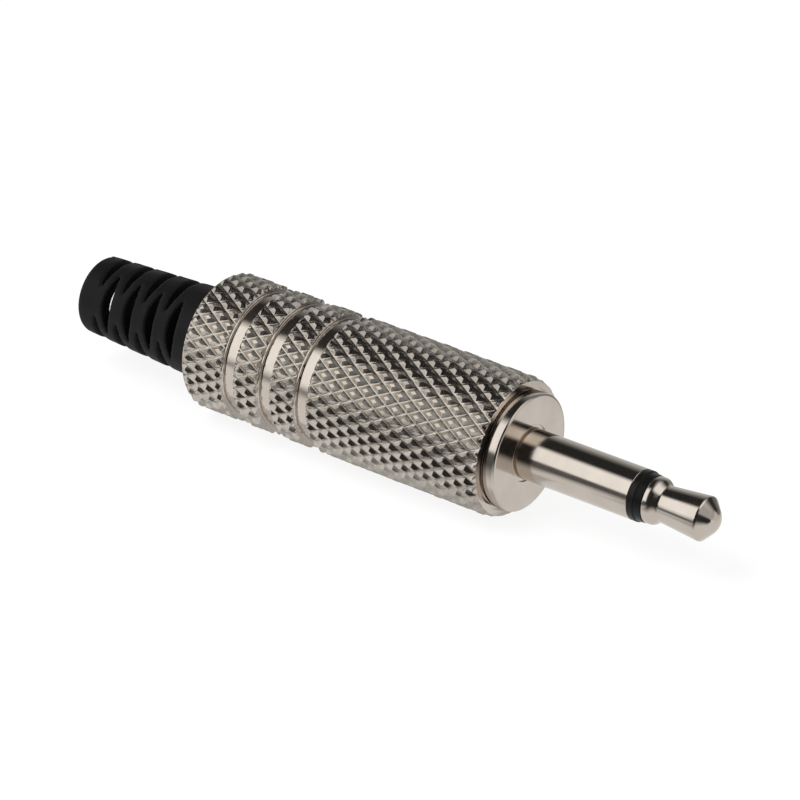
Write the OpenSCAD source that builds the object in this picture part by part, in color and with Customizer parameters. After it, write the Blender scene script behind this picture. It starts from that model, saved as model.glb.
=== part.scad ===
// Mono jack plug with a knurled screw-on barrel and a slotted strain relief.
// The plug's axis is X, with the tip towards +X. The origin is the centre of the shoulder's front face.

/* [Contact pin] */
// Diameter of the sleeve contact
sleeve_d = 3.5; // [3:0.1:4.5]
// Length of the sleeve from the shoulder to the insulating ring
sleeve_len = 8.75; // [6:0.05:14]
// Wall of the sleeve tube
sleeve_wall = 0.4; // [0.3:0.05:0.5]
// Fillet where the sleeve meets the shoulder
base_fillet = 0.25; // [0.1:0.05:0.4]
// Length of the black insulating ring
ring_len = 1; // [0.7:0.05:2]
// Length of the lower step at the ring's front edge
ring_step_len = 0.55; // [0.2:0.05:0.6]
// Depth of the step at the ring's front edge
ring_step = 0.07; // [0.02:0.01:0.1]
// Taper of the step towards the bead
ring_taper = 0.05; // [0.02:0.01:0.06]
// Diameter of the bead behind the waist
bead_d = 3.22; // [2.8:0.02:3.4]
// Length of the bead
bead_len = 0.55; // [0.3:0.05:1]
// Height of the bead's rounded crown
bead_crown = 0.04; // [0.02:0.01:0.08]
// Length of the slope from the bead down to the waist
waist_slope = 0.6; // [0.3:0.05:1]
// Diameter of the waist
waist_d = 2.46; // [2:0.02:2.7]
// Largest diameter of the tip
tip_d = 3.06; // [2.8:0.02:3.4]
// Length of the tip's taper from the waist to its widest place
tip_taper = 2.75; // [2:0.05:4]
// Length of the nose
nose_len = 1.2; // [0.9:0.05:1.6]
// Radius of the nose's rounded end
nose_r = 0.95; // [0.6:0.05:1.1]
// Diameter of the tip contact's stem
stem_d = 1.5; // [1:0.05:1.6]

/* [Shoulder] */
// Diameter of the shoulder disc
shoulder_d = 8.2; // [8:0.05:9]
// Thickness of the shoulder disc
shoulder_t = 1; // [0.6:0.05:2]
// Chamfer on the shoulder's front edge
shoulder_edge = 0.1; // [0.05:0.01:0.2]

/* [Barrel] */
// Diameter over the knurl
barrel_d = 9.78; // [9.6:0.02:11]
// Length of the barrel
barrel_len = 24.7; // [22:0.1:32]
// Wall left between the barrel's bore and the bottom of its grooves
barrel_wall = 0.75; // [0.6:0.05:0.8]
// Depth of the smooth grooves
groove_depth = 0.44; // [0.36:0.02:0.5]
// Width of each smooth groove
groove_w = 1.05; // [0.6:0.05:1.6]
// Distance from one groove to the next
groove_step = 3.1; // [2.6:0.05:4]
// Distance from the barrel's rear end to the first groove
groove_first = 3.55; // [2:0.05:6]
// Number of smooth grooves
groove_count = 3; // [1:1:4]
// Chamfer on both edges of each groove
groove_edge = 0.26; // [0.1:0.02:0.32]
// Chamfer on the barrel's rear edge
rear_edge = 0.12; // [0.05:0.01:0.3]
// Length of the bevel on the barrel's front edge
bevel_len = 0.28; // [0.1:0.02:0.5]
// Depth of the bevel on the barrel's front edge
bevel_depth = 0.36; // [0.2:0.02:0.4]
// Thickness of the wall at the barrel's rear end
lip_t = 1.2; // [0.8:0.1:2]

/* [Knurl] */
// Depth of the knurl
knurl_depth = 0.31; // [0.2:0.01:0.34]
// Number of knurl grooves around the barrel, each way
knurl_starts = 32; // [24:1:40]
// Distance along the barrel from one knurl groove to the next
knurl_pitch = 1.71; // [1.4:0.01:2.2]
// Height that the flat tops take off each knurl point
knurl_flat = 0.08; // [0.04:0.01:0.12]

/* [Thread] */
// Length of the threaded boss behind the shoulder
thread_len = 4.5; // [3:0.1:6]

/* [Strain relief] */
// Length of the strain relief outside the barrel
relief_len = 11.05; // [10.4:0.05:14]
// Diameter of the strain relief at the barrel
relief_front_d = 6.56; // [6.2:0.02:6.6]
// Diameter of the strain relief at its rear end
relief_rear_d = 5.48; // [5:0.02:6]
// Rounding of the rear edge
relief_edge = 0.3; // [0.1:0.05:0.4]
// Thickness of the flange inside the barrel
flange_t = 1.2; // [0.8:0.1:2]
// Diameter of the hole for the cable
cable_d = 3.9; // [3:0.1:4]
// Width of each bending slot
slot_w = 0.75; // [0.5:0.05:0.85]
// Length of each bending slot
slot_len = 4.3; // [3.6:0.1:4.6]
// Distance from one bending slot to the next in a row
slot_pitch = 2; // [1.9:0.05:2.4]
// Distance from the rear end to the first bending slot
slot_first = 1.65; // [1.2:0.05:2]
// Number of bending slots in each row
slot_count = 4; // [2:1:4]
// Turn of the slots about the plug's axis
slot_turn = -23; // [-90:1:90]

/* [Inside] */
// Diameter of the neck that carries the ground lug
neck_d = 4.4; // [4.2:0.1:4.8]
// Width of the neck's riveted rim
neck_rim = 0.2; // [0.1:0.05:0.3]
// Length of the neck's riveted rim
neck_rim_len = 0.4; // [0.2:0.05:0.6]
// Thickness of the metal of both lugs
lug_t = 0.4; // [0.3:0.05:0.5]
// Width of the ground lug's arm
ground_arm_w = 2; // [1.4:0.1:2.2]
// Gap between the ground lug's clamp ears and the strain relief's flange
ground_gap = 1.4; // [0.6:0.1:4]
// Length of the clamp ears at the ground lug's end
ear_len = 3; // [2:0.1:4]
// Angle that the clamp ears wrap
ear_wrap = 230; // [180:5:250]
// Diameter of the tip lug's ring
tip_ring_d = 3; // [3:0.1:3.6]
// Width of the tip lug's tail
tip_tail_w = 1.8; // [1.2:0.1:2]
// Reach of the tip lug's tail behind its ring
tip_reach = 5.2; // [4:0.1:8]
// Diameter of the solder holes in both lugs
solder_d = 1; // [0.6:0.1:1.2]
// Distance from a lug's solder hole to the end of its straight part
solder_inset = 1.4; // [1:0.1:2]
// Diameter of the rear insulator's flange
rear_flange_d = 4.4; // [3.8:0.1:4.8]
// Thickness of the rear insulator's flange
rear_flange_t = 0.6; // [0.4:0.05:1]
// Length of the rear insulator's spigot
spigot_len = 1.5; // [1:0.1:2.5]
// Diameter of the stem's riveted head
rivet_d = 1.9; // [1.7:0.1:2.1]
// Length of the stem's riveted head
rivet_len = 0.5; // [0.3:0.05:0.8]
// Length of the insulating tube
tube_len = 15; // [12:0.1:15.5]
// Wall of the insulating tube
tube_wall = 0.35; // [0.25:0.05:0.4]

/* [Clearances] */
// Radial gap of pieces that are pressed or staked together
press_gap = 0.02; // [0.01:0.01:0.04]
// Radial gap of the screw thread
thread_gap = 0.04; // [0.02:0.01:0.08]
// Radial gap of pieces that lie loose in the barrel
loose_gap = 0.1; // [0.05:0.01:0.15]
// Radial gap between the ground lug and the insulating tube
lug_gap = 0.25; // [0.15:0.05:0.5]

/* [Hidden] */
$fn = 96;

nickel = [0.76, 0.73, 0.69];
brass = [0.83, 0.70, 0.42];
black_plastic = [0.07, 0.07, 0.07];
brown_board = [0.45, 0.28, 0.16];
clear_plastic = [0.80, 0.82, 0.80];

// A cut runs this far past the face that it opens
past = 1;
// The clamp ears lie this far inside the outer face of the arm that they grow from
ear_sink = lug_t / 8;

// Radii, from the outside of the barrel inwards
barrel_r = barrel_d / 2;
groove_r = barrel_r - groove_depth;
bore_r = groove_r - barrel_wall;
boss_r = bore_r - thread_gap;
lip_r = relief_front_d / 2 + loose_gap;
sleeve_r = sleeve_d / 2;
sleeve_bore_r = sleeve_r - sleeve_wall;
insulator_r = sleeve_bore_r - press_gap;
stem_r = stem_d / 2;
stem_hole_r = stem_r + press_gap;
neck_r = neck_d / 2;
cable_r = cable_d / 2;
tube_r = bore_r - loose_gap;
tube_bore_r = tube_r - tube_wall;
ground_r = tube_bore_r - lug_gap;

// Stations along the axis, from the tip to the rear end
ring_x = sleeve_len;
bead_x = ring_x + ring_len;
waist_x = bead_x + bead_len + waist_slope;
widest_x = waist_x + tip_taper;
nose_x = widest_x + nose_len;
barrel_x = -shoulder_t;
boss_x = barrel_x - thread_len;
ground_x = boss_x - lug_t;
neck_x = ground_x - press_gap - neck_rim_len;
tip_ring_x = neck_x - rear_flange_t - lug_t;
rivet_x = tip_ring_x - rivet_len;
barrel_rear_x = barrel_x - barrel_len;
lip_x = barrel_rear_x + lip_t;
flange_x = lip_x + flange_t;
relief_x = barrel_rear_x - relief_len;

// Points of an arc about [r, x], from one angle to another, with 0 pointing outwards and 90 to the tip
function arc(r, x, size, from, to, steps = 6) = [
  for (i = [0 : steps])
    let (a = from + (to - from) * i / steps)
    [r + size * cos(a), x + size * sin(a)]
];

// A solid turned about the plug's axis from an outline of [radius, place along the axis]
module turned(outline) {
  rotate([0, 90, 0]) rotate_extrude() polygon(outline);
}

// A straight round bar or hole from x1 to x2
module round_bar(r, x1, x2) {
  translate([x1, 0, 0]) rotate([0, 90, 0]) cylinder(r = r, h = x2 - x1);
}

// The knurled bar that the barrel is turned from: rows of points that are high and low by turns
knurl_low = barrel_r - knurl_depth;
knurl_high = barrel_r + knurl_flat;
knurl_around = 2 * knurl_starts;
knurl_rows = ceil((barrel_len + 2 * past) / knurl_pitch) * 2;

function knurl_point(row, i) =
  let (r = (row + i) % 2 == 0 ? knurl_low : knurl_high, a = 360 * i / knurl_around)
  [r * cos(a), r * sin(a), row * knurl_pitch / 2];

function knurl_at(row, i) = row * knurl_around + i % knurl_around;

// Two faces between neighbouring rows, split along the knurl groove that joins their low points
function knurl_faces(row, i) =
  let (
    a = knurl_at(row, i),
    b = knurl_at(row, i + 1),
    c = knurl_at(row + 1, i + 1),
    d = knurl_at(row + 1, i)
  )
  (row + i) % 2 == 0 ? [[a, c, b], [a, d, c]] : [[a, d, b], [b, d, c]];

module knurled_bar() {
  points = [for (row = [0 : knurl_rows], i = [0 : knurl_around - 1]) knurl_point(row, i)];
  ends = [[0, 0, 0], [0, 0, knurl_rows * knurl_pitch / 2]];
  first_end = len(points);
  sides = [
    for (row = [0 : knurl_rows - 1], i = [0 : knurl_around - 1])
      each knurl_faces(row, i)
  ];
  caps = [
    for (i = [0 : knurl_around - 1])
      each [
        [first_end, knurl_at(0, i), knurl_at(0, i + 1)],
        [first_end + 1, knurl_at(knurl_rows, i + 1), knurl_at(knurl_rows, i)]
      ]
  ];
  translate([barrel_rear_x - past, 0, 0])
    rotate([0, 90, 0])
    polyhedron(points = concat(points, ends), faces = concat(sides, caps));
}

// Knurled shell that screws onto the plug body
module barrel() {
  outside = [
    [0, barrel_rear_x],
    [barrel_r - rear_edge, barrel_rear_x],
    [barrel_r, barrel_rear_x + rear_edge],
    [barrel_r, barrel_x - bevel_len],
    [barrel_r - bevel_depth, barrel_x],
    [0, barrel_x]
  ];
  color(nickel)
    difference() {
      intersection() {
        knurled_bar();
        turned(outside);
      }
      for (i = [0 : groove_count - 1])
        barrel_groove(barrel_rear_x + groove_first + i * groove_step);
      round_bar(bore_r, lip_x, barrel_x + past);
      round_bar(lip_r, barrel_rear_x - past, lip_x + past);
    }
}

// One smooth groove cut around the barrel
module barrel_groove(x) {
  turned([
    [groove_r, x],
    [barrel_r - groove_edge, x],
    [barrel_r + past, x - groove_edge - past],
    [barrel_r + past, x + groove_w + groove_edge + past],
    [barrel_r - groove_edge, x + groove_w],
    [groove_r, x + groove_w]
  ]);
}

// Flexible tail with staggered slots, held by its flange behind the barrel's rear wall
module strain_relief() {
  front_r = relief_front_d / 2;
  rear_r = relief_rear_d / 2;
  outside = concat(
    [
      [cable_r, flange_x],
      [tube_r, flange_x],
      [tube_r, lip_x],
      [front_r, lip_x],
      [front_r, barrel_rear_x]
    ],
    arc(rear_r - relief_edge, relief_x + relief_edge, relief_edge, 0, -90),
    [[cable_r, relief_x]]
  );
  color(black_plastic)
    difference() {
      turned(outside);
      rotate([slot_turn, 0, 0])
        for (i = [0 : slot_count - 1]) {
          x = relief_x + slot_first + i * slot_pitch;
          for (side = [-1, 1]) bending_slot(x, side * (front_r + rear_r) / 2);
          bending_slot(x + slot_pitch / 2, 0);
        }
    }
}

// One slot with pointed ends, cut right through along Y
module bending_slot(x, z) {
  half_w = slot_w / 2;
  curve_r = (pow(slot_len / 2, 2) + pow(half_w, 2)) / slot_w;
  translate([x, 0, z])
    rotate([90, 0, 0])
    intersection_for (side = [-1, 1])
      translate([side * (curve_r - half_w), 0, -relief_front_d])
      cylinder(r = curve_r, h = 2 * relief_front_d);
}

// Plastic tube that keeps the lugs off the barrel
module insulating_tube() {
  color(clear_plastic)
    turned([
      [tube_bore_r, flange_x],
      [tube_r, flange_x],
      [tube_r, flange_x + tube_len],
      [tube_bore_r, flange_x + tube_len]
    ]);
}

// Sleeve contact, shoulder, threaded boss and riveting neck, turned in one piece
module plug_body() {
  shoulder_r = shoulder_d / 2;
  outside = concat(
    [
      [sleeve_bore_r, neck_x],
      [neck_r + neck_rim, neck_x],
      [neck_r + neck_rim, neck_x + neck_rim_len],
      [neck_r, neck_x + neck_rim_len],
      [neck_r, boss_x],
      [boss_r, boss_x],
      [boss_r, barrel_x],
      [shoulder_r, barrel_x],
      [shoulder_r, -shoulder_edge],
      [shoulder_r - shoulder_edge, 0]
    ],
    arc(sleeve_r + base_fillet, base_fillet, base_fillet, 270, 180),
    [[sleeve_r, ring_x], [sleeve_bore_r, ring_x]]
  );
  color(nickel) turned(outside);
}

// Black ring between sleeve and tip, with the tube that lines the sleeve
module front_insulator() {
  step_x = bead_x - ring_step_len;
  tube_end_x = neck_x + spigot_len;
  color(black_plastic)
    turned([
      [stem_hole_r, tube_end_x],
      [insulator_r, tube_end_x],
      [insulator_r, ring_x],
      [sleeve_r, ring_x],
      [sleeve_r, step_x],
      [sleeve_r - ring_step, step_x],
      [sleeve_r - ring_step - ring_taper, bead_x],
      [stem_hole_r, bead_x]
    ]);
}

// Tip contact with its bead, waist and nose, on a stem that is riveted over at the rear
module tip_contact() {
  bead_r = bead_d / 2;
  waist_r = waist_d / 2;
  tip_r = tip_d / 2;
  rivet_r = rivet_d / 2;
  crown_r = (pow(bead_len / 2, 2) + pow(bead_crown, 2)) / (2 * bead_crown);
  crown_a = asin(bead_len / 2 / crown_r);
  nose_center_x = nose_x - nose_r;
  cone_x = widest_x - nose_center_x;
  nose_start = atan2(cone_x, tip_r) + acos(nose_r / norm([tip_r, cone_x]));
  outside = concat(
    [
      [0, rivet_x],
      [rivet_r - rivet_len / 2, rivet_x],
      [rivet_r, rivet_x + rivet_len / 2],
      [rivet_r, tip_ring_x],
      [stem_r, tip_ring_x],
      [stem_r, bead_x]
    ],
    arc(bead_r - crown_r, bead_x + bead_len / 2, crown_r, -crown_a, crown_a),
    [[waist_r, waist_x], [tip_r, widest_x]],
    arc(0, nose_center_x, nose_r, nose_start, 90)
  );
  color(nickel) turned(outside);
}

// Flanged bush between the riveting neck and the tip lug
module rear_insulator() {
  color(brown_board)
    turned([
      [stem_hole_r, neck_x - rear_flange_t],
      [rear_flange_d / 2, neck_x - rear_flange_t],
      [rear_flange_d / 2, neck_x],
      [insulator_r, neck_x],
      [insulator_r, neck_x + spigot_len],
      [stem_hole_r, neck_x + spigot_len]
    ]);
}

// Ring under the stem's riveted head, with a tail for the core wire
module tip_lug() {
  ring_r = tip_ring_d / 2;
  tail_end_x = tip_ring_x - tip_reach;
  color(brass)
    difference() {
      union() {
        round_bar(ring_r, tip_ring_x, tip_ring_x + lug_t);
        translate([tail_end_x, -tip_tail_w / 2, ring_r - lug_t])
          cube([tip_reach + lug_t, tip_tail_w, lug_t]);
      }
      round_bar(stem_hole_r, tip_ring_x - past, tip_ring_x + lug_t + past);
      solder_hole(tail_end_x + solder_inset);
    }
}

// Ring riveted to the plug body, with an arm for the braid and open ears that clamp the cable
module ground_lug() {
  arm_end_x = flange_x + ground_gap;
  arm_z = sqrt(pow(ground_r, 2) - pow(ground_arm_w / 2, 2));
  ear_r = arm_z - ear_sink;
  color(nickel)
    difference() {
      union() {
        round_bar(ground_r, ground_x, ground_x + lug_t);
        translate([arm_end_x, -ground_arm_w / 2, -arm_z])
          cube([ground_x + lug_t - arm_end_x, ground_arm_w, lug_t]);
        translate([arm_end_x, 0, 0])
          rotate([0, 90, 0])
          rotate([0, 0, -ear_wrap / 2])
          rotate_extrude(angle = ear_wrap)
          translate([ear_r - lug_t, 0])
          square([lug_t, ear_len]);
      }
      round_bar(neck_r + press_gap, ground_x - past, ground_x + lug_t + past);
      mirror([0, 0, 1]) solder_hole(arm_end_x + ear_len + solder_inset);
    }
}

// Hole through the upper arm of a lug
module solder_hole(x) {
  translate([x, 0, 0]) cylinder(d = solder_d, h = barrel_r);
}

barrel();
strain_relief();
insulating_tube();
plug_body();
front_insulator();
tip_contact();
rear_insulator();
tip_lug();
ground_lug();
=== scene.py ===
"""Looks of the mono jack plug: turned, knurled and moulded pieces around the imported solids.

Sizes are in millimetres, with X along the plug and the tip towards +X, unless a name ends in _M.
An angle around a piece starts below the axis, and a quarter turn on it points along +Y.
"""

import math

import bmesh
import bpy
import numpy as np
from mathutils import Matrix, Vector


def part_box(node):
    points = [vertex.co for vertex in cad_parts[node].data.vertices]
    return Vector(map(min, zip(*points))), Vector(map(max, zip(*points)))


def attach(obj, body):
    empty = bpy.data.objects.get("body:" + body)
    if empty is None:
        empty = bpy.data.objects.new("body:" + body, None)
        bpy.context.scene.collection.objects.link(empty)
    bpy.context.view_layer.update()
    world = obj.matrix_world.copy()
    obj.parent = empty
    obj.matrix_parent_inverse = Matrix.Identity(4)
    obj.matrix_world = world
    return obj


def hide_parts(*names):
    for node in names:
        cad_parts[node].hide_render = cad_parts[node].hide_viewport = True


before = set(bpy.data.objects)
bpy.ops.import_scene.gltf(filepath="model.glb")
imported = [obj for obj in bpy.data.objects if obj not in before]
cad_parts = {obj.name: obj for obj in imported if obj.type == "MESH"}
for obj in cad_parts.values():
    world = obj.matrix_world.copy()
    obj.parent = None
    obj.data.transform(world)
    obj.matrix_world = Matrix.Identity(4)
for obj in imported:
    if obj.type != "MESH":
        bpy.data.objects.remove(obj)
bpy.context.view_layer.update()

MM = 0.001
TURN = 2 * math.pi
# Faces around a turned piece, and around the barrel's bore
AROUND = 192
BORE_AROUND = 96
# An edge looks sharp where its faces meet at more than the first angle, and nowhere with the second
SHARP_ANGLE = math.radians(28)
NEVER_SHARP = math.pi
# Distances that count as none: between points, at a cut, and below the turned outline
TOUCH = 1e-4
CUT_TOUCH = 1e-5
OUTLINE_TOUCH = 1e-6
# Roundings: the most that one takes of an edge, the points along it, and how far beside it a flat begins
ROUND_SHARE = 0.4
ROUND_STEPS = (0, 0.25, 0.5, 0.75, 1)
ROUND_GUARD = 0.2


def corners(node):
    """Lowest and highest corner of a solid, in millimetres."""
    low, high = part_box(node)
    return low / MM, high / MM


# Stations along the axis and outer radii, from the solids
REAR_X, FRONT_X = (corner.x for corner in corners("barrel"))
BARREL_R = corners("barrel")[1].y
RELIEF_X = corners("strain_relief")[0].x
NECK_X, RING_X = (corner.x for corner in corners("plug_body"))
SHOULDER_R = corners("plug_body")[1].y
LINER_X, BEAD_X = (corner.x for corner in corners("front_insulator"))
SLEEVE_R = corners("front_insulator")[1].y
RIVET_X, NOSE_X = (corner.x for corner in corners("tip_contact"))
BEAD_R = corners("tip_contact")[1].y
BOSS_X = corners("ground_lug")[1].x
TUBE_R = corners("insulating_tube")[1].y

# Barrel's ends and inside, with the fine gap around the shoulder
BORE_R = TUBE_R + 0.1
LIP_R = 3.38
LIP_T = 1.2
REAR_LEN = 0.32
REAR_DEPTH = 0.25
BEVEL_LEN = 0.42
BEVEL_DEPTH = 0.19
FRONT_BAND = 0.05
FRONT_EDGE = 0.03
SEAT_R = SHOULDER_R - 0.1
GAP_R = SHOULDER_R + 0.22
GAP_DEPTH = 0.25
BORE_CHAMFER = 0.15

# Barrel's grooves, each with a narrow land on its rear side
GROOVE_FIRST = 3.5
GROOVE_STEP = 3.1
GROOVE_COUNT = 3
GROOVE_W = 0.97
GROOVE_R = BARREL_R - 0.47
GROOVE_TAPER = 0.06
LAND_W = 0.15
LAND_R = BARREL_R - 0.31
LAND_EDGE = 0.03
NEAR_LEN = 0.1
NEAR_DEPTH = 0.24
FAR_EDGE = 0.2
WALL_RUN = 0.04
SLOPE_SLICES = 3
# A face is turned where the outline lies at least this far inside the barrel's radius
TURNED_DEPTH = 1e-3

# Knurl. Half a cell is the unit of its widths: KNURL_STEPS go around, and KNURL_ROW is one along the axis.
# A pair has one value for each of its two directions: the rise of the facets over half a cell, half the
# width of a valley's flat floor, and half the width of the whole rounded valley. TOP_HALF is half the width
# of a top, and each top is up to TOP_SPREAD lower than the barrel's radius.
KNURL_STEPS = 64
KNURL_ROW = 0.8675
KNURL_START = REAR_X - 1.34
KNURL_TURN = 1.475
FACET_RISE = (0.42, 0.43)
VALLEY_FLAT = (0.08, 0.07)
VALLEY_HALF = (0.2, 0.16)
TOP_HALF = 0.29
TOP_SPREAD = 0.03
CHANCE_AROUND = 12.9
CHANCE_ALONG = 78.2
CHANCE_SCALE = 437.5

# Screw thread, on the boss and in the barrel
THREAD_PITCH = 0.5
THREAD_DEPTH = 0.24
THREAD_SLICES = 10
THREAD_FADE = 0.4
THREAD_FLANK = 1.5
THREAD_FLAT = 0.25
THREAD_MARGIN = 0.05
BORE_THREAD_X = BOSS_X - 0.5

# Plug body. Its outline starts and ends on the wall of the bore, as far from the bore's ends as PLUG_SEAM.
PLUG_SEAM = 1
SLEEVE_BORE_R = SLEEVE_R - 0.4
SLEEVE_EDGE = 0.05
NECK_R = 2.2
NECK_RIM = 0.2
NECK_RIM_LEN = 0.4
BOSS_R = BORE_R - 0.04
RUNOUT_LEN = 0.3
RUNOUT_DEPTH = 0.1
RUNOUT_EDGE = 0.02
SHOULDER_EDGE = 0.16
UNDERCUT_W = 0.24
UNDERCUT = 0.13
TURNED_EDGE = 0.04

# Ring, with its outline's seam in the stem's hole
RING_SEAM = 0.5
LINER_R = SLEEVE_BORE_R - 0.02
STEM_R = 0.75
STEM_HOLE_R = STEM_R + 0.02
RING_STEP_LEN = 0.55
RING_STEP = 0.07
RING_TAPER = 0.05
RING_EDGE = 0.06
MOULDED_EDGE = 0.03

# Tip
BEAD_EDGE = 0.1
CREST_LEN = 0.5
CREST_EDGE = 0.2
WAIST_X = BEAD_X + 0.98
WAIST_R = 1.24
WAIST_EDGE = 0.12
WIDEST_X = NOSE_X - 1.08
WIDEST_EDGE = 0.1
TIP_R = 1.54
NOSE_END = NOSE_X - 0.12
NOSE_R = 1.3
NOSE_STEPS = 16
RIVET_R = 0.95
RIVET_LEN = 0.5

# Strain relief
RELIEF_VOXEL = 0.1
RELIEF_SMOOTH = 4
RELIEF_SOFTNESS = 0.5
RIB_GROWTH = 0.045

# Flash of the relief's mould: where it runs, its size, and the shares of its height that make it uneven.
# A rate is in radians for each millimetre along the axis.
FLASH_TURN = math.radians(23)
FLASH_FROM_R = 2.3
FLASH_W = 0.12
FLASH_H = 0.06
FLASH_LEVEL = 0.7
RIPPLE = 0.3
RIPPLE_RATE = 5.1
TAG = 0.4
TAG_RATE = 2.3
TAG_START = 1
TAG_POWER = 6

# Camera, as the photo was taken. VIEW_OFFSET is how far it stands right, up and back from the origin.
VIEW_AZIMUTH = math.radians(36.69)
VIEW_ELEVATION = math.radians(29.976)
VIEW_OFFSET = (-8.52, 3.49, 262.675)
LENS = 180
SENSOR = 36
CLIP_START_M = 0.01


# Meshes

def rounded(points, size):
    """The open outline with its corners rounded by size, or by a corner's own third value.

    A point beside each rounding keeps the flats flat.
    """
    made = [points[0]]
    for before, corner, after in zip(points, points[1:], points[2:]):
        here = Vector(corner[:2])
        reach = corner[2] if len(corner) > 2 else size
        back, ahead = Vector(before[:2]) - here, Vector(after[:2]) - here
        run = min(reach, ROUND_SHARE * back.length, ROUND_SHARE * ahead.length)
        back.normalize()
        ahead.normalize()
        start, end = here + back * run, here + ahead * run
        made.append(tuple(start + back * run * ROUND_GUARD))
        for t in ROUND_STEPS:
            made.append(tuple(start.lerp(here, t).lerp(here.lerp(end, t), t)))
        made.append(tuple(end + ahead * run * ROUND_GUARD))
    return made + [points[-1][:2]]


def arc(x, r, size, start, end, steps):
    """Points of an arc about (x, r), from outwards of it at 0 degrees to its tip side at 90."""
    turns = np.radians(np.linspace(start, end, steps + 1))
    return [(x + size * math.sin(t), r + size * math.cos(t)) for t in turns]


def ring_points(x, r, count):
    """Points of a ring about the axis, with one radius or a radius for each point."""
    turn = np.arange(count) * TURN / count
    radius = np.broadcast_to(r, count)
    return np.column_stack((np.full(count, x), radius * np.sin(turn), -radius * np.cos(turn)))


def ring_faces(near, far):
    """Faces between two rings of corners. A corner that comes twice in a face is left out once."""
    loops = zip(near, near[1:] + near[:1], far[1:] + far[:1], far)
    return [tuple(dict.fromkeys(loop)) for loop in loops]


def lathe(rows):
    """Points and faces turned from rows of (x, radius).

    They close on the axis, or from the last row to the first.
    """
    points, rings = [], []
    for x, r in rows:
        first = len(points)
        if np.isscalar(r) and r == 0:
            points.append((x, 0, 0))
            rings.append([first] * AROUND)
        else:
            points.extend(ring_points(x, r, AROUND).tolist())
            rings.append(list(range(first, first + AROUND)))
    solid_core = len(set(rings[0])) == 1
    faces = []
    for near, far in zip(rings, rings[1:] if solid_core else rings[1:] + rings[:1]):
        faces.extend(ring_faces(near, far))
    return points, faces


def thread_rows(start, end, crest_r, depth, count):
    """Rows of a right-hand thread that fades out at both ends. A negative depth cuts outwards."""
    turn = np.arange(count) / count
    rows = []
    for x in np.arange(start, end, THREAD_PITCH / THREAD_SLICES):
        phase = (x / THREAD_PITCH - turn) % 1
        profile = np.clip(THREAD_FLANK * (1 - np.abs(2 * phase - 1)) - THREAD_FLAT, 0, 1)
        fade = min(1, (x - start) / THREAD_FADE, (end - x) / THREAD_FADE)
        rows.append((x, crest_r - depth * fade * profile))
    return rows


def mesh_in_work(points, faces):
    """A mesh that can still be cut and moved, from points and faces."""
    made = bmesh.new()
    verts = [made.verts.new(p) for p in points]
    for face in faces:
        made.faces.new([verts[i] for i in face])
    return made


def finished_mesh(name, made, sharp_angle=SHARP_ANGLE):
    """The mesh in metres, smooth apart from its sharp edges."""
    bmesh.ops.recalc_face_normals(made, faces=made.faces)
    bmesh.ops.scale(made, vec=(MM, MM, MM), verts=made.verts)
    mesh = bpy.data.meshes.new(name)
    made.to_mesh(mesh)
    made.free()
    mesh.shade_smooth()
    mesh.set_sharp_from_angle(angle=sharp_angle)
    return mesh


def turned_mesh(name, rows):
    return finished_mesh(name, mesh_in_work(*lathe(rows)))


def piece(name, mesh, body, node, slot, *materials):
    """Links a piece that rides on a body and stands for a solid, with the given materials. The slot is not
    used.
    """
    made = bpy.data.objects.new(name, mesh)
    bpy.context.scene.collection.objects.link(made)
    for material in materials:
        mesh.materials.append(material)
    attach(made, body)
    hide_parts(node)


# Knurled barrel

def knurl_lines(angle, x):
    """Places across the knurl's two directions, in half cells. A valley lies at each even number."""
    around = angle * KNURL_STEPS / TURN - KNURL_TURN
    along = (x - KNURL_START) / KNURL_ROW
    return around + along, around - along


def facet_radius(line, rise, flat, half):
    """Radius of one direction's facets, with the rounded valleys between them."""
    off = np.abs((line + 1) % 2 - 1)
    bend = np.maximum(off - flat, 0) ** 2 / (half - flat)
    off = np.where(off < half, (bend + half + flat) / 2, off)
    return BARREL_R + rise * (off - 1 + TOP_HALF)


def cell_chance(lines):
    """A number from 0 to 1 for each cell, which looks random and is the same in each run."""
    first, second = (np.floor(line / 2) for line in lines)
    around = (first + second) % KNURL_STEPS
    mixed = np.sin(CHANCE_AROUND * around + CHANCE_ALONG * (first - second)) * CHANCE_SCALE
    return mixed - np.floor(mixed)


def knurl_radius(angle, x):
    """Radius of the knurl: two sets of rounded helical valleys with flat-topped pyramids between them."""
    lines = knurl_lines(angle, x)
    sides = [facet_radius(*values) for values in zip(lines, FACET_RISE, VALLEY_FLAT, VALLEY_HALF)]
    top = BARREL_R - TOP_SPREAD * cell_chance(lines)
    return np.minimum(np.minimum(*sides), top)


def cell_nodes(index):
    """Lattice lines across one cell of a direction: the valley's middle, its bends and the top's edges."""
    near = (VALLEY_FLAT[index], VALLEY_HALF[index], 1 - TOP_HALF)
    return np.array((0, *near, *(2 - node for node in near[::-1])))


def knurl_lattice():
    """Points and triangles of a tube whose edges follow the knurl's valleys and ridges.

    It starts behind the barrel and ends past its front.
    """
    nodes = cell_nodes(0), cell_nodes(1)
    count = len(nodes[0])
    around = count * KNURL_STEPS // 2
    reach = 2 * (FRONT_X - KNURL_START) / KNURL_ROW + 2
    line, step = np.meshgrid(np.arange(around), np.arange(int(reach * count / 2)), indexing="ij")
    first, second = (2 * (i // count) + cell[i % count] for i, cell in zip((line + step, line), nodes))
    angle = ((first + second) / 2 + KNURL_TURN) * TURN / KNURL_STEPS
    x = KNURL_START + (first - second) / 2 * KNURL_ROW
    points = np.stack((x, BARREL_R * np.sin(angle), -BARREL_R * np.cos(angle)), -1).reshape(-1, 3)
    return points, lattice_triangles(line, step, count)


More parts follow.
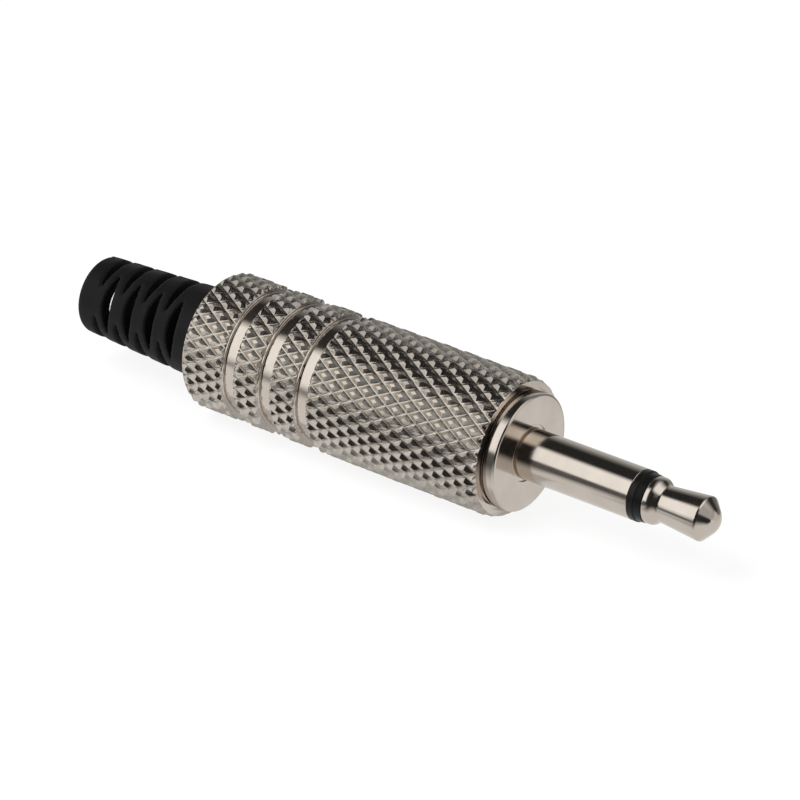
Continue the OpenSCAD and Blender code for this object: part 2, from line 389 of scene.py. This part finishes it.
def lattice_triangles(line, step, count):
    """Two triangles for each opening of the lattice, split the way that the ridges between facets run."""
    around, width = line.shape
    line, step = line[:, 1:-1], step[:, 1:-1]
    ahead = (line + 1) % around
    low, right = line * width + step, line * width + step + 1
    high, left = ahead * width + step, ahead * width + step - 1
    rising = (((line + step) % count <= count // 2) == (line % count <= count // 2))[..., None]
    one = np.where(rising, np.stack((low, right, high), -1), np.stack((low, right, left), -1))
    two = np.where(rising, np.stack((low, high, left), -1), np.stack((right, high, left), -1))
    return np.concatenate((one.reshape(-1, 3), two.reshape(-1, 3)))


def groove_stations(x):
    """Stations of one groove and its land, as (x, radius)."""
    end = x + GROOVE_W
    return [
        (x - LAND_W - NEAR_LEN, BARREL_R),
        (x - LAND_W, BARREL_R - NEAR_DEPTH),
        (x - LAND_W + WALL_RUN, LAND_R),
        (x - LAND_EDGE, LAND_R),
        (x, LAND_R - LAND_EDGE),
        (x + WALL_RUN, GROOVE_R),
        (end - WALL_RUN, GROOVE_R + GROOVE_TAPER),
        (end, BARREL_R - FAR_EDGE),
        (end + FAR_EDGE, BARREL_R),
    ]


def barrel_profile():
    """Stations of the turned outline that limits the knurl, as (x, radius)."""
    stations = [(REAR_X, BARREL_R - REAR_DEPTH), (REAR_X + REAR_LEN, BARREL_R)]
    for i in range(GROOVE_COUNT):
        stations += groove_stations(REAR_X + GROOVE_FIRST + i * GROOVE_STEP)
    band_r = BARREL_R - BEVEL_DEPTH
    return stations + [
        (FRONT_X - FRONT_BAND - BEVEL_LEN, BARREL_R),
        (FRONT_X - FRONT_BAND, band_r),
        (FRONT_X - FRONT_EDGE, band_r),
        (FRONT_X, band_r - FRONT_EDGE),
    ]


def profile_cuts(stations):
    """Places where the lattice is cut: every station, and slices of each slope."""
    cuts = [stations[0][0]]
    for (x1, r1), (x2, r2) in zip(stations, stations[1:]):
        slices = SLOPE_SLICES if r1 != r2 and x2 - x1 > WALL_RUN * 2 else 1
        cuts.extend(x1 + (x2 - x1) * (k + 1) / slices for k in range(slices))
    return cuts


def cut_lattice(made, stations):
    """Cuts the lattice where the turned outline bends, and trims it to the barrel's length."""
    for x in profile_cuts(stations):
        near = [f for f in made.faces if min(v.co.x for v in f.verts) < x < max(v.co.x for v in f.verts)]
        geom = set(near)
        for face in near:
            geom.update(face.edges)
            geom.update(face.verts)
        bmesh.ops.bisect_plane(
            made, geom=list(geom), plane_co=(x, 0, 0), plane_no=(1, 0, 0), dist=CUT_TOUCH
        )
    outside = [f for f in made.faces if not REAR_X < f.calc_center_median().x < FRONT_X]
    bmesh.ops.delete(made, geom=outside, context="FACES")


def press_knurl(made, stations):
    """Moves the lattice to the knurl's radius inside the turned outline.

    Turned faces get the first material, and knurled ones the second.
    """
    made.verts.index_update()
    places = np.array([v.co for v in made.verts])
    x = places[:, 0]
    angle = np.arctan2(places[:, 1], -places[:, 2])
    limit = np.interp(x, *np.array(stations).T)
    radius = np.minimum(knurl_radius(angle, x), limit)
    turned = (radius > limit - OUTLINE_TOUCH) & (limit < BARREL_R - TURNED_DEPTH)
    moved = np.column_stack((x, radius * np.sin(angle), -radius * np.cos(angle)))
    for vert, spot in zip(made.verts, moved.tolist()):
        vert.co = spot
    for face in made.faces:
        face.material_index = 0 if all(turned[v.index] for v in face.verts) else 1


def barrel_bore():
    """Rows of the barrel's inside, from its front face to its rear face."""
    lip_x = REAR_X + LIP_T
    gap_x = FRONT_X - GAP_DEPTH
    chamfer_x = FRONT_X - BORE_CHAMFER
    thread = thread_rows(BORE_THREAD_X, chamfer_x, BORE_R, -THREAD_DEPTH, BORE_AROUND)
    return (
        [(FRONT_X, GAP_R), (gap_x, GAP_R), (gap_x, SEAT_R), (FRONT_X, SEAT_R)]
        + [(FRONT_X, BORE_R + BORE_CHAMFER), (chamfer_x, BORE_R)]
        + thread[::-1]
        + [(lip_x, BORE_R), (lip_x, LIP_R), (REAR_X + BORE_CHAMFER, LIP_R), (REAR_X, LIP_R + BORE_CHAMFER)]
    )


def open_ring(made, x):
    """Open vertices of a mesh that lie in the plane at x."""
    return [v for v in made.verts if v.is_boundary and abs(v.co.x - x) < TOUCH]


def join_rings(made, *rings):
    """Closes the gap between two rings of vertices with triangles that go around the axis in turn."""
    places = [(math.atan2(v.co.y, -v.co.z), side, v) for side, ring in enumerate(rings) for v in ring]
    places.sort(key=lambda place: place[:2])
    last = {side: vert for _, side, vert in places}
    for _, side, vert in places:
        made.faces.new((last[0], last[1], vert))
        last[side] = vert


def add_bore(made):
    """Closes the knurled tube with its inside and its two end faces."""
    front, rear = (open_ring(made, x) for x in (FRONT_X, REAR_X))
    rows = barrel_bore()
    rings = [[made.verts.new(p) for p in ring_points(x, r, BORE_AROUND).tolist()] for x, r in rows]
    for near, far in zip(rings, rings[1:]):
        for face in ring_faces(near, far):
            made.faces.new(face)
    join_rings(made, front, rings[0])
    join_rings(made, rear, rings[-1])


def barrel_mesh():
    points, triangles = knurl_lattice()
    made = mesh_in_work(points.tolist(), triangles.tolist())
    stations = barrel_profile()
    cut_lattice(made, stations)
    press_knurl(made, stations)
    add_bore(made)
    return finished_mesh("barrel_shell", made)


# Turned pieces

def plug_rows():
    """Rows of the plug body: neck, threaded boss, shoulder and sleeve, with the bore through them."""
    rim_r = NECK_R + NECK_RIM
    rim_x = NECK_X + NECK_RIM_LEN
    undercut_r = SLEEVE_R + UNDERCUT_W
    runout_x = FRONT_X - RUNOUT_LEN
    rear = [
        (NECK_X + PLUG_SEAM, SLEEVE_BORE_R),
        (NECK_X, SLEEVE_BORE_R),
        (NECK_X, rim_r),
        (rim_x, rim_r),
        (rim_x, NECK_R),
        (BOSS_X, NECK_R),
        (BOSS_X, BOSS_R - THREAD_DEPTH),
        (BOSS_X + THREAD_DEPTH, BOSS_R),
    ]
    front = [
        (runout_x, BOSS_R),
        (FRONT_X - RUNOUT_EDGE, BOSS_R - RUNOUT_DEPTH),
        (FRONT_X, BOSS_R),
        (FRONT_X, SHOULDER_R),
        (0, SHOULDER_R, SHOULDER_EDGE),
        (0, undercut_r),
        (-UNDERCUT, undercut_r),
        (-UNDERCUT, SLEEVE_R),
        (RING_X, SLEEVE_R, SLEEVE_EDGE),
        (RING_X, SLEEVE_BORE_R),
        (RING_X - PLUG_SEAM, SLEEVE_BORE_R),
    ]
    thread_x = BOSS_X + THREAD_DEPTH + THREAD_MARGIN
    thread = thread_rows(thread_x, runout_x - THREAD_MARGIN, BOSS_R, THREAD_DEPTH, AROUND)
    return rounded(rear, TURNED_EDGE) + thread + rounded(front, TURNED_EDGE)


def ring_rows():
    """Rows of the insulating ring and the tube behind it, which lines the sleeve."""
    step_x = BEAD_X - RING_STEP_LEN
    step_r = SLEEVE_R - RING_STEP
    outline = [
        (LINER_X + RING_SEAM, STEM_HOLE_R),
        (LINER_X, STEM_HOLE_R),
        (LINER_X, LINER_R),
        (RING_X, LINER_R),
        (RING_X, SLEEVE_R, RING_EDGE),
        (step_x, SLEEVE_R, RING_EDGE),
        (step_x, step_r),
        (BEAD_X, step_r - RING_TAPER),
        (BEAD_X, STEM_HOLE_R),
        (BEAD_X - RING_SEAM, STEM_HOLE_R),
    ]
    return rounded(outline, MOULDED_EDGE)


def tip_rows():
    """Rows of the tip and its stem. The cone in front of the widest place runs into the nose's arc."""
    nose_x = NOSE_END - NOSE_R
    cone_x = WIDEST_X - nose_x
    nose_start = math.atan2(cone_x, TIP_R) + math.acos(NOSE_R / math.hypot(TIP_R, cone_x))
    nose = arc(nose_x, 0, NOSE_R, math.degrees(nose_start), 90, NOSE_STEPS)
    rivet_end = RIVET_X + RIVET_LEN
    outline = [
        (RIVET_X, 0),
        (RIVET_X, RIVET_R - RIVET_LEN / 2),
        (RIVET_X + RIVET_LEN / 2, RIVET_R),
        (rivet_end, RIVET_R),
        (rivet_end, STEM_R),
        (BEAD_X, STEM_R),
        (BEAD_X, BEAD_R, BEAD_EDGE),
        (BEAD_X + CREST_LEN, BEAD_R, CREST_EDGE),
        (WAIST_X, WAIST_R, WAIST_EDGE),
        (WIDEST_X, TIP_R, WIDEST_EDGE),
        nose[0],
    ]
    return rounded(outline, TURNED_EDGE) + nose[1:-1] + [(NOSE_END, 0)]


# Moulded strain relief

def soft_relief():
    """The slotted solid remeshed with soft moulded edges."""
    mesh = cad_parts["strain_relief"].data.copy()
    mesh.materials.clear()
    mesh.transform(Matrix.Scale(1 / MM, 4))
    stand_in = bpy.data.objects.new("relief_moulding_raw", mesh)
    bpy.context.scene.collection.objects.link(stand_in)
    weld = stand_in.modifiers.new("weld", "WELD")
    weld.merge_threshold = TOUCH
    remesh = stand_in.modifiers.new("remesh", "REMESH")
    remesh.mode = "VOXEL"
    remesh.voxel_size = RELIEF_VOXEL
    smooth = stand_in.modifiers.new("smooth", "SMOOTH")
    smooth.iterations = RELIEF_SMOOTH
    smooth.factor = RELIEF_SOFTNESS
    graph = bpy.context.evaluated_depsgraph_get()
    made = bmesh.new()
    made.from_mesh(stand_in.evaluated_get(graph).to_mesh())
    bpy.data.objects.remove(stand_in)
    return made


def flash_lift(place):
    """How far the mould's flash stands out at a place: an uneven line with a few higher tags."""
    across = place.y * math.cos(FLASH_TURN) - place.z * math.sin(FLASH_TURN)
    ripple = RIPPLE * math.sin(place.x * RIPPLE_RATE)
    tag = TAG * max(0, math.sin(place.x * TAG_RATE + TAG_START)) ** TAG_POWER
    return FLASH_H * (FLASH_LEVEL + ripple + tag) * max(0, 1 - abs(across) / FLASH_W)


def relief_mesh():
    """The soft relief with fuller ribs outside the barrel, and the flash of its mould along two sides."""
    made = soft_relief()
    made.normal_update()
    for vert in made.verts:
        if vert.co.x > REAR_X:
            continue
        vert.co += vert.normal * RIB_GROWTH
        vert.co.x = max(vert.co.x, RELIEF_X)
        r = math.hypot(vert.co.y, vert.co.z)
        if r >= FLASH_FROM_R:
            vert.co.yz = vert.co.yz * (1 + flash_lift(vert.co) / r)
    return finished_mesh("relief_moulding", made, NEVER_SHARP)


# Materials

# Span of the values that noise mostly has
NOISE_LOW = 0.3
NOISE_HIGH = 0.7
NICKEL = (0.605, 0.544, 0.484)
NICKEL_DARK = (0.555, 0.495, 0.435)
KNURL_BRIGHT = (0.54, 0.495, 0.44)
KNURL_DULL = (0.48, 0.437, 0.382)
RING_BLACK = (0.006, 0.006, 0.006)
RING_DARK = (0.004, 0.004, 0.004)
RING_WARM = (0.008, 0.008, 0.007)
RELIEF_BLACK = (0.008, 0.008, 0.008)
RELIEF_DARK = (0.003, 0.003, 0.003)
RELIEF_PALE = (0.006, 0.006, 0.006)
BRASS = (0.62, 0.44, 0.16)
BRASS_DARK = (0.55, 0.37, 0.12)
LAMINATE = (0.16, 0.07, 0.03)
LAMINATE_DARK = (0.11, 0.045, 0.018)
LAMINATE_PALE = (0.2, 0.095, 0.04)
MILKY = (0.72, 0.74, 0.72)
MILKY_DARK = (0.68, 0.71, 0.69)
MILKY_PALE = (0.76, 0.77, 0.75)
MILKY_IOR = 1.45
# Stretch of a pattern along the axis, for rolled and for extruded pieces
ROLLED = (0.1, 1, 1)
EXTRUDED = (0.08, 1, 1)


def new_material(name, color, roughness, metallic=0):
    made = bpy.data.materials.new(name)
    made.use_nodes = True
    tree = made.node_tree
    shader = tree.nodes["Principled BSDF"]
    shader.inputs["Base Color"].default_value = (*color, 1)
    shader.inputs["Roughness"].default_value = roughness
    shader.inputs["Metallic"].default_value = metallic
    return made, tree, shader


def add(tree, kind, inputs=None, **settings):
    """A node with its settings, and with its inputs set to a value or linked to an output."""
    node = tree.nodes.new(kind)
    for name, value in settings.items():
        setattr(node, name, value)
    for name, value in (inputs or {}).items():
        if isinstance(value, bpy.types.NodeSocket):
            tree.links.new(value, node.inputs[name])
        else:
            node.inputs[name].default_value = value
    return node


def own_place(tree, scale=(1, 1, 1)):
    """The piece's own coordinates in metres, stretched by a scale."""
    coords = add(tree, "ShaderNodeTexCoord")
    return add(tree, "ShaderNodeMapping", {"Vector": coords.outputs["Object"], "Scale": scale}).outputs[0]


def turned_place(tree):
    """Coordinates (x, radius, 0), which are the same all around the plug's axis."""
    split = add(tree, "ShaderNodeSeparateXYZ", {0: own_place(tree)})
    flat = add(tree, "ShaderNodeCombineXYZ", {1: split.outputs[1], 2: split.outputs[2]})
    radius = add(tree, "ShaderNodeVectorMath", {0: flat.outputs[0]}, operation="LENGTH")
    return add(tree, "ShaderNodeCombineXYZ", {0: split.outputs[0], 1: radius.outputs["Value"]}).outputs[0]


def noise(tree, vector, size_mm, detail, rough=0.5):
    """Noise whose features are about size_mm across."""
    inputs = {"Vector": vector, "Scale": 1 / (size_mm * MM), "Detail": detail, "Roughness": rough}
    return add(tree, "ShaderNodeTexNoise", inputs).outputs[0]


def spread(tree, value, low, high):
    """A noise value mapped from its usual span to low and high."""
    inputs = {"Value": value, "From Min": NOISE_LOW, "From Max": NOISE_HIGH, "To Min": low, "To Max": high}
    return add(tree, "ShaderNodeMapRange", inputs).outputs[0]


def tint(tree, value, first, second):
    """A colour that goes from first to second over a noise value's usual span."""
    blend = add(tree, "ShaderNodeValToRGB", {"Fac": value})
    for stop, position, color in zip(blend.color_ramp.elements, (NOISE_LOW, NOISE_HIGH), (first, second)):
        stop.position = position
        stop.color = (*color, 1)
    return blend.outputs[0]


def bump(tree, height, depth_mm):
    inputs = {"Height": height, "Distance": depth_mm * MM, "Strength": 1}
    return add(tree, "ShaderNodeBump", inputs).outputs[0]


def turned_nickel():
    made, tree, shader = new_material("turned_nickel", NICKEL, roughness=0.12, metallic=1)
    lines = noise(tree, turned_place(tree), size_mm=0.03, detail=3)
    clouds = noise(tree, own_place(tree), size_mm=1.6, detail=3)
    tree.links.new(tint(tree, clouds, NICKEL, NICKEL_DARK), shader.inputs["Base Color"])
    tree.links.new(spread(tree, clouds, low=0.09, high=0.16), shader.inputs["Roughness"])
    tree.links.new(bump(tree, lines, depth_mm=0.0006), shader.inputs["Normal"])
    return made


def knurled_nickel():
    made, tree, shader = new_material("knurled_nickel", KNURL_BRIGHT, roughness=0.22, metallic=1)
    grain = noise(tree, own_place(tree), size_mm=0.09, detail=4, rough=0.6)
    clouds = noise(tree, own_place(tree), size_mm=0.7, detail=3)
    tree.links.new(tint(tree, clouds, KNURL_BRIGHT, KNURL_DULL), shader.inputs["Base Color"])
    tree.links.new(spread(tree, grain, low=0.11, high=0.2), shader.inputs["Roughness"])
    tree.links.new(bump(tree, grain, depth_mm=0.011), shader.inputs["Normal"])
    return made


def ring_plastic():
    made, tree, shader = new_material("ring_plastic", RING_BLACK, roughness=0.35)
    shader.inputs["Specular IOR Level"].default_value = 0.25
    lines = noise(tree, turned_place(tree), size_mm=0.08, detail=3)
    tree.links.new(tint(tree, lines, RING_DARK, RING_WARM), shader.inputs["Base Color"])
    tree.links.new(spread(tree, lines, low=0.3, high=0.42), shader.inputs["Roughness"])
    tree.links.new(bump(tree, lines, depth_mm=0.002), shader.inputs["Normal"])
    return made


def relief_rubber():
    made, tree, shader = new_material("relief_rubber", RELIEF_BLACK, roughness=0.5)
    shader.inputs["Specular IOR Level"].default_value = 0.2
    shader.inputs["Sheen Weight"].default_value = 0.05
    shader.inputs["Sheen Roughness"].default_value = 0.3
    grain = noise(tree, own_place(tree), size_mm=0.12, detail=3)
    clouds = noise(tree, own_place(tree), size_mm=1.5, detail=2)
    tree.links.new(tint(tree, clouds, RELIEF_DARK, RELIEF_PALE), shader.inputs["Base Color"])
    tree.links.new(spread(tree, clouds, low=0.5, high=0.64), shader.inputs["Roughness"])
    tree.links.new(bump(tree, grain, depth_mm=0.008), shader.inputs["Normal"])
    return made


def sheet_metal(name, first, second):
    """Stamped sheet with long rolling lines."""
    made, tree, shader = new_material(name, first, roughness=0.3, metallic=1)
    lines = noise(tree, own_place(tree, ROLLED), size_mm=0.08, detail=4)
    tree.links.new(tint(tree, lines, first, second), shader.inputs["Base Color"])
    tree.links.new(spread(tree, lines, low=0.24, high=0.4), shader.inputs["Roughness"])
    tree.links.new(bump(tree, lines, depth_mm=0.003), shader.inputs["Normal"])
    return made


def laminate():
    made, tree, shader = new_material("laminate", LAMINATE, roughness=0.55)
    layers = noise(tree, turned_place(tree), size_mm=0.1, detail=3)
    tree.links.new(tint(tree, layers, LAMINATE_DARK, LAMINATE_PALE), shader.inputs["Base Color"])
    tree.links.new(spread(tree, layers, low=0.45, high=0.65), shader.inputs["Roughness"])
    tree.links.new(bump(tree, layers, depth_mm=0.006), shader.inputs["Normal"])
    return made


def milky_tube():
    made, tree, shader = new_material("milky_tube", MILKY, roughness=0.35)
    shader.inputs["Transmission Weight"].default_value = 0.5
    shader.inputs["IOR"].default_value = MILKY_IOR
    streaks = noise(tree, own_place(tree, EXTRUDED), size_mm=0.3, detail=3)
    tree.links.new(tint(tree, streaks, MILKY_DARK, MILKY_PALE), shader.inputs["Base Color"])
    tree.links.new(spread(tree, streaks, low=0.28, high=0.42), shader.inputs["Roughness"])
    tree.links.new(bump(tree, streaks, depth_mm=0.004), shader.inputs["Normal"])
    return made


# Studio

WHITE = (1, 1, 1, 1)
FLOOR_HALF_M = 3
FLOOR_GLOW = 0.88
FLOOR_ALBEDO = 0.15
FLOOR_ROUGHNESS = 0.9
AMBIENT = 0.5
BACKDROP = 1
KEY_PLACE_M = (-0.25, -0.45, 0.8)
KEY_SIZE_M = 0.5
KEY_WATTS = 6
# Card that reflections see: its radius, its height over the floor, and its reach and steps in degrees.
# A direction that falls less than LEAST_FALL doesn't meet the floor.
CARD_R_M = 0.45
CARD_LIFT = 0.05
CARD_AXIAL = 84
CARD_AROUND = 180
CARD_STEP = 2
LEAST_FALL = 1e-6
DARK_ROOM = 0.03
# Lights of the studio: brightness, then where each rises and falls along the axis, and where it rises and
# falls around it, from above towards the camera's side. All are angles in degrees as seen from the plug.
STUDIO = {
    "front softbox": (1.36, (-70, -48), (-26, -10), (3, 24), (71, 82)),
    "front softbox's left end": (1.36, (-70, -48), (-37, -33), (3, 24), (76, 102)),
    "top softbox": (1.3, (-14, 24), (40, 64), (-64, -22), (4, 30)),
    "left wall": (0.8, (-90, -89), (-58, -40), (-70, -20), (130, 131)),
    "left wall far back": (0.4, (-90, -89), (-58, -40), (-125, -124), (-60, -20)),
    "left wall low down": (0.98, (-90, -89), (-58, -40), (0, 40), (130, 131)),
    "top softbox's left end": (0.5, (-22, -2), (20, 30), (-64, -30), (-20, 4)),
    "right wall": (0.75, (34, 46), (89, 90), (-125, -124), (-60, -40)),
    "right wall above": (0.55, (42, 54), (89, 90), (-70, -40), (24, 50)),
    "far wall": (0.6, (-66, -46), (-10, 20), (-125, -124), (-92, -28)),
    "far wall at right": (0.25, (-10, 20), (89, 90), (-125, -124), (-92, -70)),
    "near wall": (0.12, (-90, -89), (-20, -5), (60, 80), (130, 131)),
    "near floor": (0.87, (-90, -89), (89, 90), (91, 127), (122, 148)),
    "near floor in front": (0.87, (-28, -16), (5, 25), (83, 116), (122, 148)),
    "near floor by the pin": (0.87, (-14, 2), (89, 90), (112, 123), (180, 181)),
    "far floor": (0.87, (-90, -89), (89, 90), (-165, -118), (-126, -100)),
    "far floor at right": (0.87, (0, 15), (89, 90), (-165, -118), (-112, -96)),
    "far floor by the pin": (0.87, (-14, 2), (89, 90), (-181, -180), (-126, -112)),
    "near floor in the shade": (0.58, (-90, -89), (89, 90), (112, 132), (180, 181)),
    "far floor in the shade": (0.58, (-90, -89), (89, 90), (-181, -180), (-140, -130)),
}


def seen_rays(tree):
    """1 for rays that see the white backdrop directly, in a mirror or through glass, and 0 for the rest."""
    path = add(tree, "ShaderNodeLightPath")
    total = path.outputs["Is Camera Ray"]
    for name in ("Is Glossy Ray", "Is Transmission Ray"):
        terms = {0: total, 1: path.outputs[name]}
        total = add(tree, "ShaderNodeMath", terms, operation="ADD", use_clamp=True).outputs[0]
    return total


def light_world():
    world = bpy.data.worlds.new("studio")
    bpy.context.scene.world = world
    world.use_nodes = True
    tree = world.node_tree
    inputs = {"Value": seen_rays(tree), "To Min": AMBIENT, "To Max": BACKDROP}
    level = add(tree, "ShaderNodeMapRange", inputs)
    tree.links.new(level.outputs[0], tree.nodes["Background"].inputs["Strength"])
    tree.nodes["Background"].inputs["Color"].default_value = WHITE


def stage_object(name, mesh, material):
    made = bpy.data.objects.new(name, mesh)
    bpy.context.scene.collection.objects.link(made)
    mesh.materials.append(material)
    return made


def lay_floor():
    """A pale floor under the barrel, which shines where it is seen so that it matches the backdrop."""
    mesh = bpy.data.meshes.new("floor")
    half, z = FLOOR_HALF_M, -BARREL_R * MM
    points = [(-half, -half, z), (half, -half, z), (half, half, z), (-half, half, z)]
    mesh.from_pydata(points, [], [(0, 1, 2, 3)])
    made, tree, shader = new_material("pale_floor", (FLOOR_ALBEDO,) * 3, FLOOR_ROUGHNESS)
    shader.inputs["Specular IOR Level"].default_value = 0
    shader.inputs["Emission Color"].default_value = WHITE
    glow = add(tree, "ShaderNodeMath", {0: seen_rays(tree), 1: FLOOR_GLOW}, operation="MULTIPLY")
    tree.links.new(glow.outputs[0], shader.inputs["Emission Strength"])
    stage_object("floor", mesh, made)


def ramp(value, start, end):
    """0 at start and 1 at end, with a soft change between them."""
    share = np.clip((value - start) / (end - start), 0, 1)
    return share * share * (3 - 2 * share)


def studio_level(axial, around):
    """Brightness of the studio in a direction from the plug."""
    level = np.full(axial.shape, DARK_ROOM)
    for bright, rise, fall, rise_around, fall_around in STUDIO.values():
        shape = ramp(axial, *rise) * (1 - ramp(axial, *fall))
        shape = shape * ramp(around, *rise_around) * (1 - ramp(around, *fall_around))
        level = np.maximum(level, bright * shape)
    return level


def card_points(axial, around):
    """Points in metres on a cylinder around the plug's axis, which is cut off flat just above the floor."""
    turn = np.radians(around)
    floor_run = (BARREL_R - CARD_LIFT) * MM / np.maximum(-np.cos(turn), LEAST_FALL)
    reach = np.minimum(CARD_R_M, floor_run)
    return np.stack((reach * np.tan(np.radians(axial)), -reach * np.sin(turn), reach * np.cos(turn)), -1)


def card_mesh():
    """The card, with the studio's brightness in each direction as an attribute of its points."""
    axial = np.arange(-CARD_AXIAL, CARD_AXIAL + 1, CARD_STEP)
    around = np.arange(-CARD_AROUND, CARD_AROUND + 1, CARD_STEP)
    axial, around = np.meshgrid(axial.astype(float), around.astype(float), indexing="ij")
    long, wide = axial.shape
    first = (np.arange(long - 1)[:, None] * wide + np.arange(wide - 1)).ravel()
    faces = np.stack((first, first + 1, first + wide + 1, first + wide), -1)
    mesh = bpy.data.meshes.new("studio_card")
    mesh.from_pydata(card_points(axial, around).reshape(-1, 3).tolist(), [], faces.tolist())
    glow = mesh.attributes.new("glow", "FLOAT", "POINT")
    glow.data.foreach_set("value", studio_level(axial, around).ravel())
    return mesh


def card_light():
    """A material that shines as brightly as the card's attribute says."""
    made = bpy.data.materials.new("studio_card")
    made.use_nodes = True
    made.cycles.emission_sampling = "NONE"
    tree = made.node_tree
    tree.nodes.remove(tree.nodes["Principled BSDF"])
    level = add(tree, "ShaderNodeAttribute", attribute_name="glow")
    light = add(tree, "ShaderNodeEmission", {"Strength": level.outputs["Fac"]})
    tree.links.new(light.outputs[0], tree.nodes["Material Output"].inputs["Surface"])
    return made


def hang_card():
    """Hangs the card that only reflections see: softboxes in a dark room, over a pale floor."""
    card = stage_object("studio_card", card_mesh(), card_light())
    for name in ("camera", "diffuse", "transmission", "volume_scatter", "shadow"):
        setattr(card, "visible_" + name, False)


def hang_lamp(name, place_m, size_m, watts):
    """Hangs a lamp that points at the origin and isn't seen in reflections."""
    light = bpy.data.lights.new(name, "AREA")
    light.size = size_m
    light.energy = watts
    lamp = bpy.data.objects.new(name, light)
    lamp.location = place_m
    lamp.rotation_euler = (-Vector(place_m)).to_track_quat("-Z", "Y").to_euler()
    lamp.visible_glossy = False
    bpy.context.scene.collection.objects.link(lamp)


def place_camera():
    right = Vector((math.cos(VIEW_AZIMUTH), math.sin(VIEW_AZIMUTH), 0))
    level = math.cos(VIEW_ELEVATION)
    back = Vector(
        (math.sin(VIEW_AZIMUTH) * level, -math.cos(VIEW_AZIMUTH) * level, math.sin(VIEW_ELEVATION))
    )
    up = back.cross(right)
    data = bpy.data.cameras.new("camera")
    data.sensor_width = SENSOR
    data.lens = LENS
    data.clip_start = CLIP_START_M
    camera = bpy.data.objects.new("camera", data)
    spot = sum((axis * offset for axis, offset in zip((right, up, back), VIEW_OFFSET)), Vector()) * MM
    camera.matrix_world = Matrix.Translation(spot) @ Matrix((right, up, back)).transposed().to_4x4()
    bpy.context.scene.collection.objects.link(camera)
    bpy.context.scene.camera = camera


# Plug

def build_pieces():
    """The pieces that stand for the solids seen from outside."""
    nickel, knurl = turned_nickel(), knurled_nickel()
    plug = turned_mesh("plug_turning", plug_rows())
    ring = turned_mesh("insulating_ring", ring_rows())
    tip = turned_mesh("tip_turning", tip_rows())
    piece("barrel_shell", barrel_mesh(), "barrel", "barrel", "nickel", nickel, knurl)
    piece("relief_moulding", relief_mesh(), "relief", "strain_relief", "flexible_black", relief_rubber())
    piece("plug_turning", plug, "plug", "plug_body", "nickel", nickel)
    piece("insulating_ring", ring, "plug", "front_insulator", "black_plastic", ring_plastic())
    piece("tip_turning", tip, "plug", "tip_contact", "nickel", nickel)


def dress_solids():
    """Gives the inner solids, which stay as they are packed, their materials."""
    finishes = {
        "rear_insulator": laminate(),
        "tip_lug": sheet_metal("brass_sheet", BRASS, BRASS_DARK),
        "ground_lug": sheet_metal("plated_sheet", NICKEL, NICKEL_DARK),
        "insulating_tube": milky_tube(),
    }
    for node, material in finishes.items():
        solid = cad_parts[node]
        solid.data.materials.clear()
        solid.data.materials.append(material)


bpy.context.scene.view_settings.view_transform = "Standard"
place_camera()
light_world()
lay_floor()
hang_card()
hang_lamp("key", KEY_PLACE_M, KEY_SIZE_M, KEY_WATTS)
build_pieces()
dress_solids()
